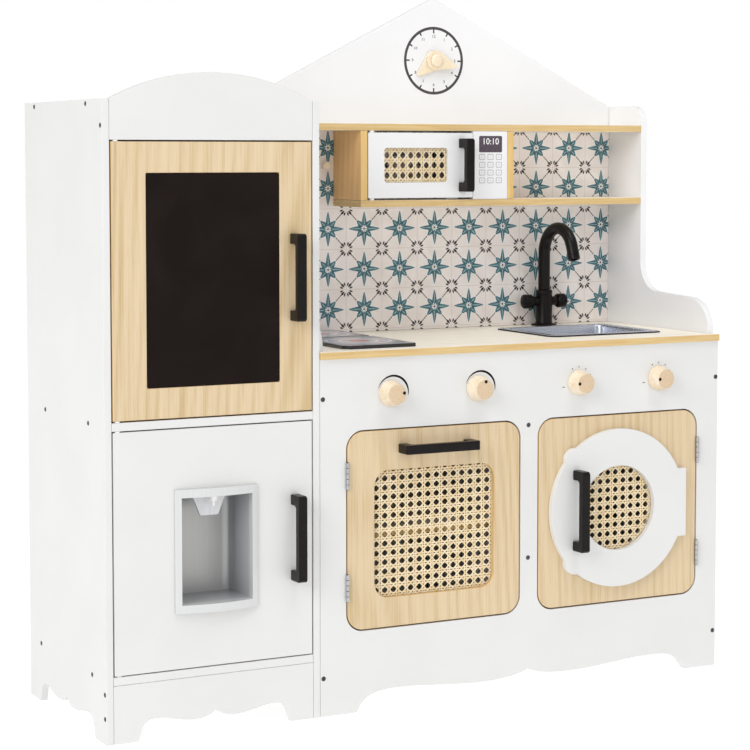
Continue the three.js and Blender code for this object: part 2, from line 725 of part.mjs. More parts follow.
const handHubRadius = 15;
const handReach = 37;
const handTipRadius = 2.5;
const handThickness = 3.2;
const postRadius = 3;

// A teardrop hand that points along +X, with a hole for the post.
function handGeometry() {
  const lean = Math.acos((handHubRadius - handTipRadius) / (handReach - handTipRadius));
  const shape = new THREE.Shape();
  shape.absarc(0, 0, handHubRadius, lean, -lean, false);
  shape.absarc(handReach - handTipRadius, 0, handTipRadius, -lean, lean, false);
  shape.holes.push(circle(0, 0, postRadius + 0.4));
  return extrudeBack(shape, handThickness, 14);
}

function addHand(name, clockwise, y) {
  const turn = THREE.MathUtils.degToRad(clockwise - 90);
  add(kitchen, name, handGeometry().rotateY(turn), beech, kitchenMiddle, y, clockHeight);
}

function buildClock() {
  const postFoot = wallFront - seam;
  const capBack = postFoot - 9.5;
  add(kitchen, 'clock_post', turned([[0, capBack - 4], [7.5, capBack - 4], [9.5, capBack - 2.5],
    [9.5, capBack], [postRadius, capBack], [postRadius, postFoot], [0, postFoot]]), beech,
  kitchenMiddle, 0, clockHeight);
  addHand('clock_hour_hand', 232, postFoot - 1 - handThickness);
  addHand('clock_minute_hand', 104, postFoot - 2 * handThickness - 2);
}

function buildKnobs() {
  const names = ['hob_knob_left', 'hob_knob_right', 'oven_knob', 'washer_knob'];
  for (const [index, offset] of knobOffsets.entries()) {
    add(kitchen, names[index], knobGeometry(), beech, kitchenMiddle + offset, 0, knobHeight);
  }
}

buildFridgeCarcass();
buildFreezerDoor();
buildFridgeDoor();
buildKitchenCarcass();
buildWorktop();
buildHob();
buildTap();
buildOvenDoor();
buildWasherDoor();
buildWallAndShelves();
buildMicrowaveDoor();
buildClock();
buildKnobs();

// The origin is on the floor, in the middle of the whole toy's footprint.
const playKitchen = new THREE.Group();
playKitchen.add(fridge, kitchen);
playKitchen.updateMatrixWorld(true);
const extent = new THREE.Box3().setFromObject(playKitchen, true);
playKitchen.position.set(-(extent.min.x + extent.max.x) / 2, -(extent.min.y + extent.max.y) / 2, 0);

export default playKitchen;
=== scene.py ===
"""The looks of a child's wooden play kitchen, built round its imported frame.

Everything is in metres in the frame's own axes: +X to the right, +Z up, and the doors face -Y.
Boards that the frame already shapes are kept and given soft edges and materials. Turned,
woven and moulded pieces are remade here in fine detail, and prints, screws, hinge leaves,
washers and catches are added.
"""
import json
import math

import bmesh
import bpy
from mathutils import Matrix, Vector


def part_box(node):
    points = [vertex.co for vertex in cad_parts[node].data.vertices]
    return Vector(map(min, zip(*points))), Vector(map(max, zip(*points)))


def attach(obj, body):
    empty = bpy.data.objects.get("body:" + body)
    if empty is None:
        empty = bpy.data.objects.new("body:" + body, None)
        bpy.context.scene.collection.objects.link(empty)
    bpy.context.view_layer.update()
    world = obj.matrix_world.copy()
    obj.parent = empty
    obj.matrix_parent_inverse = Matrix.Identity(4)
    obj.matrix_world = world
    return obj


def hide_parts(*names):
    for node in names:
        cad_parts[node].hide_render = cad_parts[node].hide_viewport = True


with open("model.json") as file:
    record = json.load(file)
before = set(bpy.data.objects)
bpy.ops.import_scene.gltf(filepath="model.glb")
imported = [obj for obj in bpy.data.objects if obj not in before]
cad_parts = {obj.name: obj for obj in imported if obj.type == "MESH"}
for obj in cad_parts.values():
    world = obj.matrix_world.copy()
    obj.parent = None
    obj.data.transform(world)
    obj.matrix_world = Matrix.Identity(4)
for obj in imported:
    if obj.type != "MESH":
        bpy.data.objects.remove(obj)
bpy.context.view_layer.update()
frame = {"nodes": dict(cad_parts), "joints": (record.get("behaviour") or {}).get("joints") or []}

scene = bpy.context.scene
MM = 0.001
ROOT = "root"


# ---- Places read from the frame ----

class Box:
    """A node's box at rest, with names for its sides."""

    def __init__(self, node):
        low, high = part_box(node)
        self.left, self.front, self.bottom = low
        self.right, self.back, self.top = high
        self.centre = (low + high) / 2
        self.size = high - low
        self.nose = (self.centre.x, self.front, self.centre.z)
        self.foot = (self.centre.x, self.centre.y, self.bottom)

    def rim(self, inset, corner, steps=8):
        """Its outline in X and Z, drawn in by inset, with corners that are round outside."""
        return rounded(self.left + inset, self.bottom + inset, self.right - inset,
                       self.top - inset, corner - inset, steps)


def joint_place(name):
    """The point that a joint turns about."""
    joint = next(j for j in frame["joints"] if j["name"] == name)
    return Vector(joint["pos_m"])


# ---- Objects and settings ----

def put(thing, **settings):
    for key, value in settings.items():
        setattr(thing, key, value)
    return thing


def new_object(name, data):
    thing = bpy.data.objects.new(name, data)
    scene.collection.objects.link(thing)
    return thing


# ---- Meshes ----

class Shape:
    """Vertices and faces being gathered into one mesh."""

    def __init__(self):
        self.points = []
        self.faces = []

    def add(self, points, faces):
        first = len(self.points)
        self.points += [tuple(point) for point in points]
        self.faces += [tuple(first + i for i in face) for face in faces]
        return self

    def skin(self, rings, ends=True, around=False):
        """Joins rings of equally many points. The ends are closed, or the last ring meets
        the first."""
        count = len(rings[0])
        points = [point for ring in rings for point in ring]
        faces = []
        for i in range(len(rings) if around else len(rings) - 1):
            here = i * count
            there = (i + 1) % len(rings) * count
            for j in range(count):
                k = (j + 1) % count
                faces.append((here + j, here + k, there + k, there + j))
        if ends and not around:
            faces.append(tuple(range(count - 1, -1, -1)))
            faces.append(tuple(range(len(points) - count, len(points))))
        return self.add(points, faces)

    def join(self, other):
        return self.add(other.points, other.faces)

    def prism(self, outline, front, back):
        """A flat piece whose outline is in X and Z, from y = front to y = back."""
        return self.skin([[(x, front, z) for x, z in outline], [(x, back, z) for x, z in outline]])

    def strip(self, inner, outer, front, back, closed=True):
        """A flat band between two outlines in X and Z."""
        rings = []
        for (x0, z0), (x1, z1) in zip(inner, outer):
            rings.append([(x0, front, z0), (x1, front, z1), (x1, back, z1), (x0, back, z0)])
        return self.skin(rings, around=closed)

    def block(self, low, high):
        """A box between two corners."""
        (x0, y0, z0), (x1, y1, z1) = low, high
        return self.prism([(x0, z0), (x1, z0), (x1, z1), (x0, z1)], y0, y1)

    def mesh(self, name, sharp=35):
        """The mesh, closed up and shaded smooth up to that many degrees."""
        made = bpy.data.meshes.new(name)
        made.from_pydata(self.points, [], self.faces)
        return tidied(made, sharp)


def tidied(mesh, sharp=35):
    """Merges doubled points, turns faces outwards and marks the sharp edges."""
    work = bmesh.new()
    work.from_mesh(mesh)
    bmesh.ops.remove_doubles(work, verts=work.verts, dist=1e-6)
    bmesh.ops.recalc_face_normals(work, faces=work.faces)
    work.to_mesh(mesh)
    work.free()
    mesh.polygons.foreach_set("use_smooth", [True] * len(mesh.polygons))
    mesh.set_sharp_from_angle(angle=math.radians(sharp))
    return mesh


def arc(u, v, radius, start, end, steps):
    """Points on an arc, in degrees, both ends included."""
    angles = [math.radians(start + (end - start) * i / steps) for i in range(steps + 1)]
    return [(u + radius * math.cos(a), v + radius * math.sin(a)) for a in angles]


def circle(u, v, radius, steps=64):
    return arc(u, v, radius, 0, 360, steps)[:-1]


def rounded(left, low, right, high, radius, steps=8):
    """A rectangle with round corners, counterclockwise."""
    corners = [(right - radius, low + radius, -90), (right - radius, high - radius, 0),
               (left + radius, high - radius, 90), (left + radius, low + radius, 180)]
    return [point for u, v, start in corners for point in arc(u, v, radius, start, start + 90, steps)]


def centred(u, v, half_u, half_v, radius, steps):
    """A small rectangle with round corners about a point. Its sizes are in mm."""
    return rounded(u - half_u * MM, v - half_v * MM, u + half_u * MM, v + half_v * MM,
                   radius * MM, steps)


def polar(place, reach, degrees):
    """X and Z of a point that lies reach mm from a place, at an angle from +X towards +Z."""
    return arc(place[0], place[-1], reach * MM, degrees, degrees, 1)[0]


def swung(outline, degrees):
    """An outline turned about (0, 0)."""
    a = math.radians(degrees)
    return [(u * math.cos(a) - v * math.sin(a), u * math.sin(a) + v * math.cos(a))
            for u, v in outline]


def turned(profile, place, axis="Y", steps=64):
    """A turned piece from pairs of radius and distance from place along the axis, in mm.
    A profile starts and ends at radius 0."""
    order = {"X": (0, 1, 2), "Y": (1, 0, 2), "Z": (1, 2, 0)}[axis]
    rings = []
    for radius, along in profile:
        points = [(along, u, v) for u, v in circle(0, 0, max(radius, 1e-4), steps)]
        rings.append([[place[i] + point[order[i]] * MM for i in range(3)] for point in points])
    return Shape().skin(rings)


def combined(name, base, added=(), removed=()):
    """Joins and cuts closed shapes into one mesh."""
    things = [new_object(name, shape.mesh(name)) for shape in (base, *added, *removed)]
    steps = ["UNION"] * len(added) + ["DIFFERENCE"] * len(removed)
    for tool, operation in zip(things[1:], steps):
        put(things[0].modifiers.new("step", "BOOLEAN"), operation=operation, solver="EXACT",
            object=tool)
    depsgraph = bpy.context.evaluated_depsgraph_get()
    mesh = bpy.data.meshes.new_from_object(things[0].evaluated_get(depsgraph))
    for thing in things:
        bpy.data.objects.remove(thing)
    mesh.name = name
    return tidied(mesh)


# ---- Pieces ----

def soften(thing, width, flat=True):
    """Rounds a piece's sharp edges without changing its mesh."""
    put(thing.modifiers.new("weld", "WELD"), merge_threshold=0.00001)
    if flat:
        put(thing.modifiers.new("planes", "DECIMATE"), decimate_type="DISSOLVE",
            angle_limit=math.radians(0.5))
    put(thing.modifiers.new("edge", "BEVEL"), width=width, segments=2, limit_method="ANGLE",
        angle_limit=math.radians(30))
    thing.modifiers.new("shade", "WEIGHTED_NORMAL")


def piece(name, shape, material, body, stands_for=(), edge=0.0, sharp=35):
    """Adds a piece that rides on a body, and may stand for nodes of the frame."""
    mesh = shape.mesh(name, sharp) if isinstance(shape, Shape) else shape
    mesh.materials.append(material)
    thing = new_object(name, mesh)
    if edge:
        soften(thing, edge)
    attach(thing, body)
    if stands_for:
        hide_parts(*stands_for)
    return thing


def dress(nodes, material, edge=0.7 * MM, flat=True):
    """Keeps nodes of the frame, with soft edges and a material."""
    for node in nodes:
        thing = frame["nodes"][node]
        thing.data.polygons.foreach_set("use_smooth", [True] * len(thing.data.polygons))
        for slot in thing.material_slots:
            slot.material = material
        soften(thing, edge, flat)


# ---- Materials ----

def linear(colour):
    """A colour for a shader. Three values are the usual 0 to 255, and four are linear already."""
    if len(colour) == 4:
        return colour
    parts = [value / 255 for value in colour]
    return (*(p / 12.92 if p <= 0.04045 else ((p + 0.055) / 1.055) ** 2.4 for p in parts), 1.0)


def mixed(first, second, share):
    return tuple(a * (1 - share) + b * share for a, b in zip(linear(first), linear(second)))


class Look:
    """One material's nodes, made around its Principled shader."""

    def __init__(self, name, roughness=0.5, metallic=0.0, specular=0.5, coat=0.0):
        self.material = bpy.data.materials.new(name)
        self.material.use_nodes = True
        self.tree = self.material.node_tree
        self.shader = self.tree.nodes["Principled BSDF"]
        for key, value in (("Roughness", roughness), ("Metallic", metallic),
                           ("Specular IOR Level", specular), ("Coat Weight", coat),
                           ("Coat Roughness", 0.3)):
            self.shader.inputs[key].default_value = value
        self.coordinates = self.node("ShaderNodeTexCoord").outputs["Object"]

    def link(self, value, socket):
        """Sets a socket to an output, a number or a colour."""
        if isinstance(value, bpy.types.NodeSocket):
            self.tree.links.new(value, socket)
        else:
            socket.default_value = linear(value) if socket.type == "RGBA" else value

    def node(self, kind, inputs=(), **settings):
        """A new node with its settings and what goes into its sockets."""
        made = put(self.tree.nodes.new(kind), **settings)
        for key, value in dict(inputs).items():
            self.link(value, made.inputs[key])
        return made

    def stretched(self, scale, offset=0.0):
        inputs = {"Vector": self.coordinates, "Scale": scale, "Location": (offset,) * 3}
        return self.node("ShaderNodeMapping", inputs).outputs["Vector"]

    def noise(self, scale, detail, distortion=0.0, stretch=None):
        vector = self.stretched(stretch) if stretch else self.coordinates
        inputs = {"Vector": vector, "Scale": scale, "Detail": detail, "Distortion": distortion}
        return self.node("ShaderNodeTexNoise", inputs).outputs["Fac"]

    def ramp(self, factor, *stops):
        made = self.node("ShaderNodeValToRGB", {"Fac": factor})
        elements = made.color_ramp.elements
        while len(elements) < len(stops):
            elements.new(0.5)
        for element, (position, colour) in zip(elements, stops):
            element.position = position
            element.color = linear(colour)
        return made.outputs["Color"]

    def math(self, operation, first, second=0.0, third=0.0):
        inputs = enumerate((first, second, third))
        return self.node("ShaderNodeMath", inputs, operation=operation).outputs["Value"]

    def mix(self, factor, first, second, blend="MIX"):
        made = self.node("ShaderNodeMix", {0: factor}, data_type="RGBA", blend_type=blend)
        self.link(first, made.inputs[6])
        self.link(second, made.inputs[7])
        return made.outputs[2]

    def stained(self, share, base, factor, low, stain, high):
        """A colour times a stain where factor is low, and untouched where it is high."""
        shade = self.ramp(factor, (low, (*stain, 1)), (high, (1, 1, 1, 1)))
        return self.mix(share, base, shade, "MULTIPLY")

    def split(self, vector):
        return self.node("ShaderNodeSeparateXYZ", {"Vector": vector}).outputs

    def facing(self, axis, bar=0.75):
        """1 on faces that look along an axis of the piece, and 0 on the others."""
        normal = self.node("ShaderNodeNewGeometry").outputs["True Normal"]
        turn = self.node("ShaderNodeVectorTransform", {"Vector": normal}, vector_type="NORMAL",
                         convert_from="WORLD", convert_to="OBJECT")
        amount = self.math("ABSOLUTE", self.split(turn.outputs["Vector"])["XYZ".index(axis)])
        return self.math("GREATER_THAN", amount, bar)

    def colour(self, value):
        self.link(value, self.shader.inputs["Base Color"])

    def roughness(self, factor, span, least):
        value = self.math("MULTIPLY_ADD", factor, span, least)
        self.link(value, self.shader.inputs["Roughness"])

    def bump(self, height, distance):
        """A relief of that height in mm."""
        inputs = {"Height": height, "Strength": 1.0, "Distance": distance * MM}
        made = self.node("ShaderNodeBump", inputs)
        self.link(made.outputs["Normal"], self.shader.inputs["Normal"])


def plain_look(name, light, dark, blotches, relief, rough=None, span=(0.3, 0.7), **shader):
    """Drifts between two shades. blotches is the noise of the colour, relief the noise of the
    bumps and their height, and rough the noise of the roughness, its span and its least."""
    look = Look(name, **shader)
    look.colour(look.ramp(look.noise(*blotches), (span[0], dark), (span[1], light)))
    if rough:
        look.roughness(look.noise(*rough[:2]), *rough[2:])
    look.bump(look.noise(*relief[:2]), relief[2])
    return look.material


def painted(name, colour, roughness=0.42, speckle=0.03, peel=0.05):
    """Satin paint: nearly even, with a trace of orange peel."""
    dark = mixed(colour, (0, 0, 0, 1), speckle)
    return plain_look(name, colour, dark, (9, 4), (700, 2, peel),
                      (35, 2, 0.12, roughness - 0.06), (0.35, 0.65), roughness=roughness)


def ink_look(name, light, dark, roughness=0.55, specular=0.5):
    """Screen-printed ink, very slightly uneven."""
    return plain_look(name, light, dark, (240, 4), (2000, 2, 0.01), roughness=roughness,
                      specular=specular)


def maple_board(name, along, faces, light, dark, edge_light, edge_dark):
    """Maple foil with its grain along one axis, and banded edges on the other sides."""
    look = Look(name, 0.48)
    index = "XYZ".index(along)

    def grain(shrink):
        scale = [1.0] * 3
        scale[index] = shrink
        return scale

    rings = look.node("ShaderNodeTexWave",
                      {"Vector": look.stretched(grain(0.09), 0.13), "Scale": 24,
                       "Distortion": 5.0, "Detail": 2.0, "Detail Scale": 0.9},
                      wave_type="RINGS", rings_direction=faces)
    figure = look.math("MULTIPLY", rings.outputs["Fac"], 0.12)
    for scale, distortion, shrink, share in ((28, 0.4, 0.07, 0.26), (190, 0.2, 0.016, 0.24),
                                             (640, 0.1, 0.009, 0.40)):
        fibre = look.noise(scale, 3, distortion, grain(shrink))
        figure = look.math("MULTIPLY_ADD", fibre, share, figure)
    body = look.ramp(figure, (0.34, dark), (0.50, mixed(light, dark, 0.3)), (0.66, light))
    pores = look.noise(1700, 2, 0.0, grain(0.02))
    body = look.stained(0.55, body, pores, 0.30, (0.84, 0.78, 0.68), 0.44)
    edge = look.ramp(look.noise(260, 3, 0.2, grain(0.05)), (0.3, edge_dark), (0.7, edge_light))
    look.colour(look.mix(look.facing(faces), edge, body))
    look.roughness(fibre, 0.16, 0.40)
    look.bump(fibre, 0.03)
    return look.material


def beech_look(name, light, dark, end):
    """Turned or cut beech, with flecks along the grain. end is the colour of its front face."""
    look = Look(name, 0.55, specular=0.35)
    flecks = look.noise(520, 3, 0.3, (1, 0.12, 1))
    body = look.ramp(look.noise(60, 2), (0.35, dark), (0.68, light))
    face = look.mix(look.facing("Y", 0.9), body, end)
    look.colour(look.stained(0.6, face, flecks, 0.36, (0.88, 0.81, 0.72), 0.52))
    look.bump(flecks, 0.04)
    return look.material


def metal_look(name, light, dark, roughness=0.3, metallic=1.0, brushed=(1, 1, 0.05)):
    """Brushed or plated metal, or plastic painted to look like it."""
    look = Look(name, roughness, metallic)
    streaks = look.noise(380, 3, 0.0, brushed)
    look.colour(look.ramp(streaks, (0.3, dark), (0.7, light)))
    look.roughness(streaks, 0.16, roughness - 0.08)
    look.bump(streaks, 0.01)
    return look.material


def cane_look():
    look = Look("cane_strands", 0.45, specular=0.4)
    fibre = look.noise(1400, 2, 0.0, (1, 1, 0.25))
    body = look.ramp(look.noise(110, 3), (0.3, (232, 208, 162)), (0.7, (248, 233, 202)))
    look.colour(look.stained(0.6, body, fibre, 0.34, (0.76, 0.66, 0.52), 0.54))
    look.bump(fibre, 0.05)
    return look.material


def niche_look(front, depth):
    """Silvered plastic, pale on the rim, with painted shade that darkens it towards the back of the
    niche and a painted highlight band near its back wall.
    """
    look = Look("silvered_niche_painted_shade", 0.3, metallic=0.3)
    y = look.split(look.coordinates)["Y"]
    inward = look.math("DIVIDE", look.math("SUBTRACT", y, front), depth)
    streaks = look.noise(300, 2, 0.0, (1, 1, 0.02))
    # Painted shade: the ramp darkens with depth into the niche, and its light stop at 0.86 is a
    # painted highlight near the back wall.
    body = look.ramp(inward, (0.0, (212, 213, 213)), (0.05, (206, 207, 207)),
                     (0.10, (184, 186, 189)), (0.78, (158, 160, 163)),
                     (0.86, (214, 213, 209)), (0.95, (178, 176, 171)))
    look.colour(look.stained(1.0, body, streaks, 0.3, (0.96, 0.96, 0.96), 0.7))
    look.roughness(streaks, 0.1, 0.26)
    return look.material


def tile_sheet_look(corner, pitch):
    """Printed tiles: clouded cream squares with thin grey joints."""
    look = Look("printed_tiles", 0.33)
    x, _, z = look.split(look.coordinates)

    def joint_line(value, start):
        place = look.math("DIVIDE", look.math("SUBTRACT", value, start), pitch)
        offset = look.math("SUBTRACT", place, look.math("ROUND", place))
        return look.math("LESS_THAN", look.math("ABSOLUTE", offset), 0.0065)

    joints = look.math("MAXIMUM", joint_line(x, corner[0]), joint_line(z, corner[1]))
    body = look.ramp(look.noise(28, 5, 0.8), (0.3, (238, 229, 224)), (0.7, (248, 242, 239)))
    look.colour(look.mix(look.math("MULTIPLY", joints, 0.8), body, (214, 204, 197)))
    look.bump(look.noise(500, 2), 0.01)
    return look.material


def hob_look(name, centre):
    """A hob plate: black edges and a printed glass top with a hot middle and two rings."""
    look = Look(name, 0.22, coat=0.2)
    x, y, _ = look.split(look.coordinates)
    dx = look.math("SUBTRACT", x, centre[0])
    dy = look.math("SUBTRACT", y, centre[1])
    away = look.math("SQRT", look.math("ADD", look.math("MULTIPLY", dx, dx),
                                       look.math("MULTIPLY", dy, dy)))
    reach = look.math("DIVIDE", away, 56 * MM)
    grey, pale = (190, 184, 188), (238, 238, 240)
    bands = look.ramp(
        reach, (0.0, (222, 122, 120)), (0.24, (212, 132, 130)), (0.30, grey), (0.44, grey),
        (0.46, pale), (0.50, pale), (0.52, grey), (0.74, grey), (0.76, (140, 156, 206)),
        (0.81, pale), (0.84, grey), (1.0, (150, 147, 154)))
    speckle = look.noise(300, 4)
    top = look.stained(1.0, bands, speckle, 0.3, (0.86, 0.86, 0.88), 0.7)
    look.colour(look.mix(look.facing("Z"), (12, 10, 10), top))
    look.roughness(speckle, 0.1, 0.18)
    return look.material


WHITE = painted("white_paint", (222, 222, 221))
# A lighter copy of the same white paint: painted light, which makes up for the shade that falls on
# the gable wall and the boards of the alcove.
LIGHTENED_WHITE = painted("white_paint_painted_light", (236, 236, 237))
BACK = painted("white_hardboard", (236, 235, 231), 0.6, 0.05, 0.12)
DOOR_MAPLE = maple_board("maple_doors", "Z", "Y", (220, 199, 165), (196, 169, 124),
                         (220, 186, 130), (202, 160, 98))
TOP_MAPLE = maple_board("maple_worktop", "X", "Z", (253, 248, 236), (244, 232, 212),
                        (218, 190, 136), (204, 170, 110))
WALL_MAPLE = maple_board("maple_uprights", "Z", "X", (238, 195, 136), (217, 166, 106),
                         (228, 196, 130), (214, 174, 106))
BEECH = beech_look("beech_turned", (238, 225, 204), (227, 209, 182), (213, 190, 160))
PALE_BEECH = beech_look("beech_pale", (248, 238, 220), (240, 226, 202), (240, 224, 196))
BLACK = plain_look("black_fittings", (19, 13, 11), (10, 6, 5), (80, 4), (700, 2, 0.008),
                   (300, 3, 0.12, 0.26), roughness=0.3, specular=0.2)
PLASTIC = plain_look("white_plastic", (246, 246, 245), (238, 238, 237), (50, 3),
                     (900, 2, 0.015), roughness=0.3, coat=0.2)
CHALK = plain_look("chalkboard", (33, 26, 24), (26, 19, 17), (7, 5, 1.2), (900, 3, 0.04),
                   (120, 4, 0.15, 0.75), (0.35, 0.75), roughness=0.85, specular=0.08)
SILVER = metal_look("silver_plastic", (222, 222, 224), (212, 213, 215), metallic=0.15)
SINK = metal_look("sink_silver", (204, 208, 218), (190, 195, 207), 0.26, 0.85, (0.02, 1, 1))
STEEL = metal_look("plated_steel", (206, 206, 208), (160, 160, 162))
SCREW = metal_look("screw_steel", (104, 104, 106), (72, 72, 74), 0.34)
CANE = cane_look()
DARK_INK = ink_look("dark_ink", (74, 66, 70), (60, 54, 58))
BLACK_INK = ink_look("black_ink", (20, 18, 18), (13, 12, 12), specular=0.15)
GREY_INK = ink_look("grey_ink", (192, 189, 192), (174, 171, 175))
SCREEN_INK = ink_look("screen_ink", (84, 72, 84), (68, 58, 70), 0.3)
WHITE_INK = ink_look("white_ink", (250, 250, 250), (242, 242, 242))
TEAL_INK = ink_look("teal_ink", (80, 128, 139), (54, 100, 113))
PALE_INK = ink_look("pale_teal_ink", (176, 198, 200), (158, 184, 188))
BROWN_INK = ink_look("brown_ink", (62, 50, 48), (44, 36, 36))


# ---- Boards that the frame already shapes ----

dress(["fridge_side_left", "fridge_side_right", "fridge_top_panel", "fridge_middle_shelf",
       "fridge_bottom_shelf", "fridge_kick_board", "fridge_arch_fascia", "fridge_door",
       "kitchen_side_left", "kitchen_front_panel", "kitchen_bottom_shelf",
       "kitchen_centre_divider", "washer_porthole_plate"], WHITE)
# Painted light: these boards in the alcove get the lighter copy of the white paint against the shade
# there.
dress(["tiled_gable_wall", "kitchen_side_right", "microwave_door", "microwave_control_panel"],
      LIGHTENED_WHITE)
dress(["fridge_back_panel", "kitchen_back_panel"], BACK)
dress(["freezer_door", "oven_door", "washer_door"], DOOR_MAPLE)
dress(["worktop", "top_shelf", "lower_shelf", "oven_shelf"], TOP_MAPLE)
dress(["microwave_wall", "shelf_divider"], WALL_MAPLE)
dress(["freezer_chalkboard"], CHALK, 0.3 * MM)
dress(["freezer_handle", "fridge_handle", "oven_handle", "washer_handle",
       "microwave_handle"], BLACK, 1.2 * MM)
# The dispenser's niche gets painted shade and a painted highlight from its depth.
dress(["dispenser_housing"], niche_look(Box("fridge_door").front, Box("dispenser_housing").size.y),
      0.4 * MM, False)
dress(["dispenser_paddle"], SILVER, 0.8 * MM)
dress(["clock_hour_hand", "clock_minute_hand"], PALE_BEECH, 0.6 * MM)
for plate in ("hob_plate_front", "hob_plate_rear"):
    dress([plate], hob_look(plate, Box(plate).centre), 0.6 * MM)


# ---- Turned wood ----

def build_knob(node, dot_angle):
    """A tapered wooden knob with a slightly domed face, the dot that shows where it points, a
    shaft through the panel and a nut behind it."""
    box = Box(node)
    body = node + "_body"
    radius, depth = box.size.x / 2 / MM, box.size.y / MM
    face, shaft, bevel = 0.78 * radius, 3.6, 1.1
    edge = [(face - bevel * (1 - v), 0.15 + bevel * (1 - u)) for u, v in arc(0, 0, 1, 0, 90, 4)]
    profile = [(0, 0), (0.5 * face, 0.05), *edge, (face + 0.5, 3), (face + 1.2, 6),
               (face + 2.1, 9.5), (radius - 1, 14), (radius - 0.2, 17.4), (radius, 18.8),
               (radius - 0.2, 19.9), (radius - 0.9, 20.7), (shaft, 20.7), (shaft, depth - 0.6),
               (shaft - 0.6, depth), (0, depth)]
    piece(node + "_turned", turned(profile, box.nose), BEECH, body, [node])
    nut = [(0, 0), (6.4, 0), (6.4, 0.7), (4.6, 1.3), (0, 1.3)]
    behind = (box.centre.x, Box("kitchen_front_panel").back + 0.4 * MM, box.centre.z)
    piece(node + "_push_nut", turned(nut, behind, steps=32), STEEL, body)
    dot = circle(*polar(box.centre, 10.9, dot_angle), 2.4 * MM, 24)
    piece(node + "_dot", Shape().prism(dot, box.front - 0.02 * MM, box.front + 0.3 * MM),
          BLACK_INK, body)


DOT_ANGLES = {"hob_knob_left": 9, "hob_knob_right": 83, "oven_knob": 180, "washer_knob": 180}
for node, angle in DOT_ANGLES.items():
    build_knob(node, angle)

PEG = [(0, 0), (4.2, 0.1), (5.6, 0.6), (6.3, 1.6), (6.5, 3.0), (6.2, 4.6), (5.2, 6.2),
       (4.4, 7.4), (4.1, 9), (4.0, 12), (4.0, 15), (0, 15)]
POST = [(0, 0), (5.0, 0.15), (7.6, 0.7), (9.0, 1.6), (9.5, 2.6), (9.4, 3.5), (8.9, 4.0),
        (3.0, 4.0), (3.0, 13.5), (0, 13.5)]
for node, profile, steps in (("utensil_peg", PEG, 40), ("clock_post", POST, 48)):
    piece(node + "_turned", turned(profile, Box(node).nose, steps=steps), PALE_BEECH, ROOT,
          [node])


# ---- Tap ----

def build_tap_body():
    """The column and the arm that carries a valve at each end."""
    box = Box("tap_body")
    profile = [(0, 0), (20.0, 0), (20.0, 1.6), (19.4, 2.3), (15.0, 2.9), (13.7, 3.6),
               (13.0, 5.0), (13.0, 48.0), (12.4, 48.5), (12.4, 49.5), (13.0, 50.0),
               (13.0, 54.7), (12.2, 55.5), (0, 55.5)]
    column = turned(profile, box.foot, "Z", 56)
    valve = Box("tap_valve_left")
    reach = (box.centre.x - valve.right) / MM - 0.3
    arm = 7
    ends = [(0, -reach), (arm - 0.6, -reach), (arm, 0.6 - reach), (arm, reach - 0.6),
            (arm - 0.6, reach), (0, reach)]
    arms = turned(ends, (box.centre.x, box.centre.y, valve.centre.z), "X", 40)
    piece("tap_body_cast", combined("tap_body_cast", column, [arms]), BLACK, ROOT,
          ["tap_body"])


def build_tap_valve(node, side):
    box = Box(node)
    near = box.right if side < 0 else box.left
    profile = [(0, 0), (8.0, 0), (9.0, 0.6), (10.7, 2.4), (11.0, 3.2), (11.0, 7.6), (10.5, 8.0),
               (10.5, 8.7), (11.0, 9.1), (11.0, 14.2), (10.6, 15.0), (9.8, 15.4), (0, 15.4)]
    profile = [(radius, side * along) for radius, along in profile]
    piece(node + "_grip", turned(profile, (near, box.centre.y, box.centre.z), "X", 48), BLACK,
          node + "_body", [node])


def build_tap_spout():
    """A tube that rises, bends over and ends in a collar. Its path is in mm."""
    box = Box("tap_spout")
    pivot = joint_place("tap_spout_swivel")
    foot = Vector((pivot.x, pivot.y, box.bottom))
    radius = box.size.x / 2 / MM
    bend, turn = 41, math.radians(160)
    rise = box.size.z / MM - radius - bend
    bent = rise + bend * turn
    whole = bent + 21
    tip = whole - 7
    path = [(0, radius - 0.7), (0.7, radius), *((rise * i / 4, radius) for i in range(1, 5)),
            *((rise + (bent - rise) * i / 40, radius) for i in range(1, 41)),
            (tip, radius), (tip + 0.3, radius - 0.6), (tip + 1.0, radius - 0.6),
            (tip + 1.3, radius), (whole - 0.6, radius), (whole, radius - 0.6),
            (whole, radius - 2.4), (whole - 9, radius - 2.4)]
    rings = []
    for distance, size in path:
        angle = min(max(distance - rise, 0) / bend, turn)
        past = max(distance - bent, 0)
        sine, cosine = math.sin(angle), math.cos(angle)
        centre = (0, bend * (cosine - 1) - past * sine,
                  min(distance, rise) + bend * sine + past * cosine)
        rings.append([foot + (Vector(centre) + Vector((u, v * cosine, v * sine))) * MM
                      for u, v in circle(0, 0, size, 48)])
    piece("tap_spout_bent", Shape().skin(rings), BLACK, "tap_spout_body",
          ["tap_spout"])


build_tap_body()
build_tap_valve("tap_valve_left", -1)
build_tap_valve("tap_valve_right", 1)
build_tap_spout()


# ---- Sink ----

